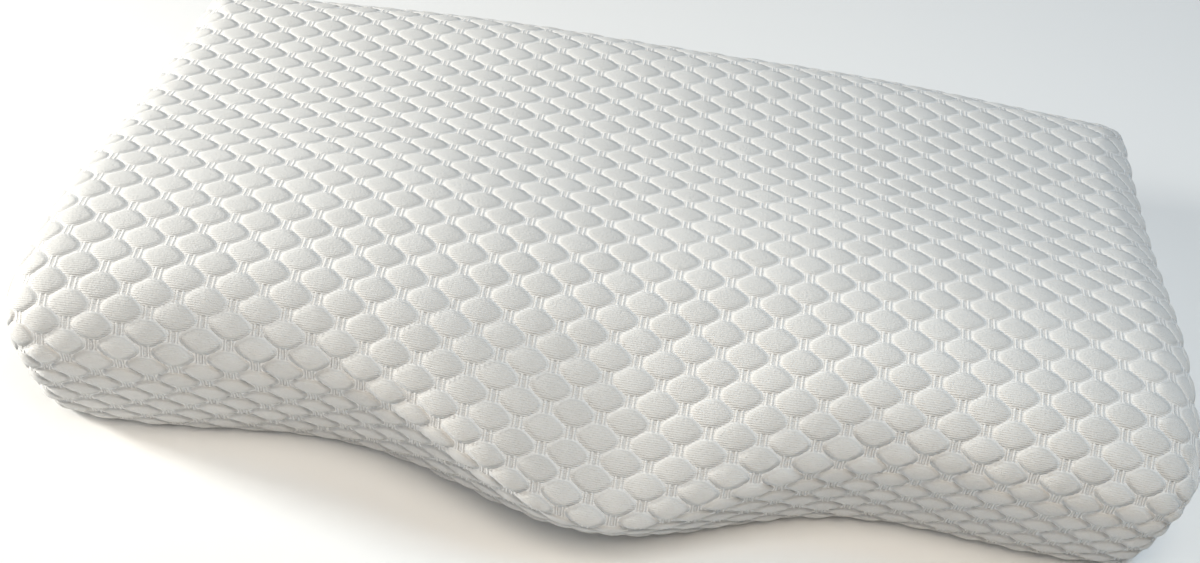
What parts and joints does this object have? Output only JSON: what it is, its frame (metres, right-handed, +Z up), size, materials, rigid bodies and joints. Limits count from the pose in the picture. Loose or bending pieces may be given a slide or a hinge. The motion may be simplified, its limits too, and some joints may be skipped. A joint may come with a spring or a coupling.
{
  "type": "cervical pillow",
  "caption": "Contoured neck pillow: a raised neck ridge with a central hollow over a rounded nose, shoulder recesses beside it and a lower, level back, on a flat base.",
  "frame": {"origin": "under the middle of the bounding box, on the flat base that the pillow rests on", "axes": "+X along the pillow's long side, -Y towards the neck edge with its nose, +Z up"},
  "size_m": [0.6, 0.3622, 0.1227],
  "materials": {
    "knit": "matte puffed jacquard knit"
  },
  "bodies": {
    "root": {"pillow": "knit"}
  },
  "joints": []
}
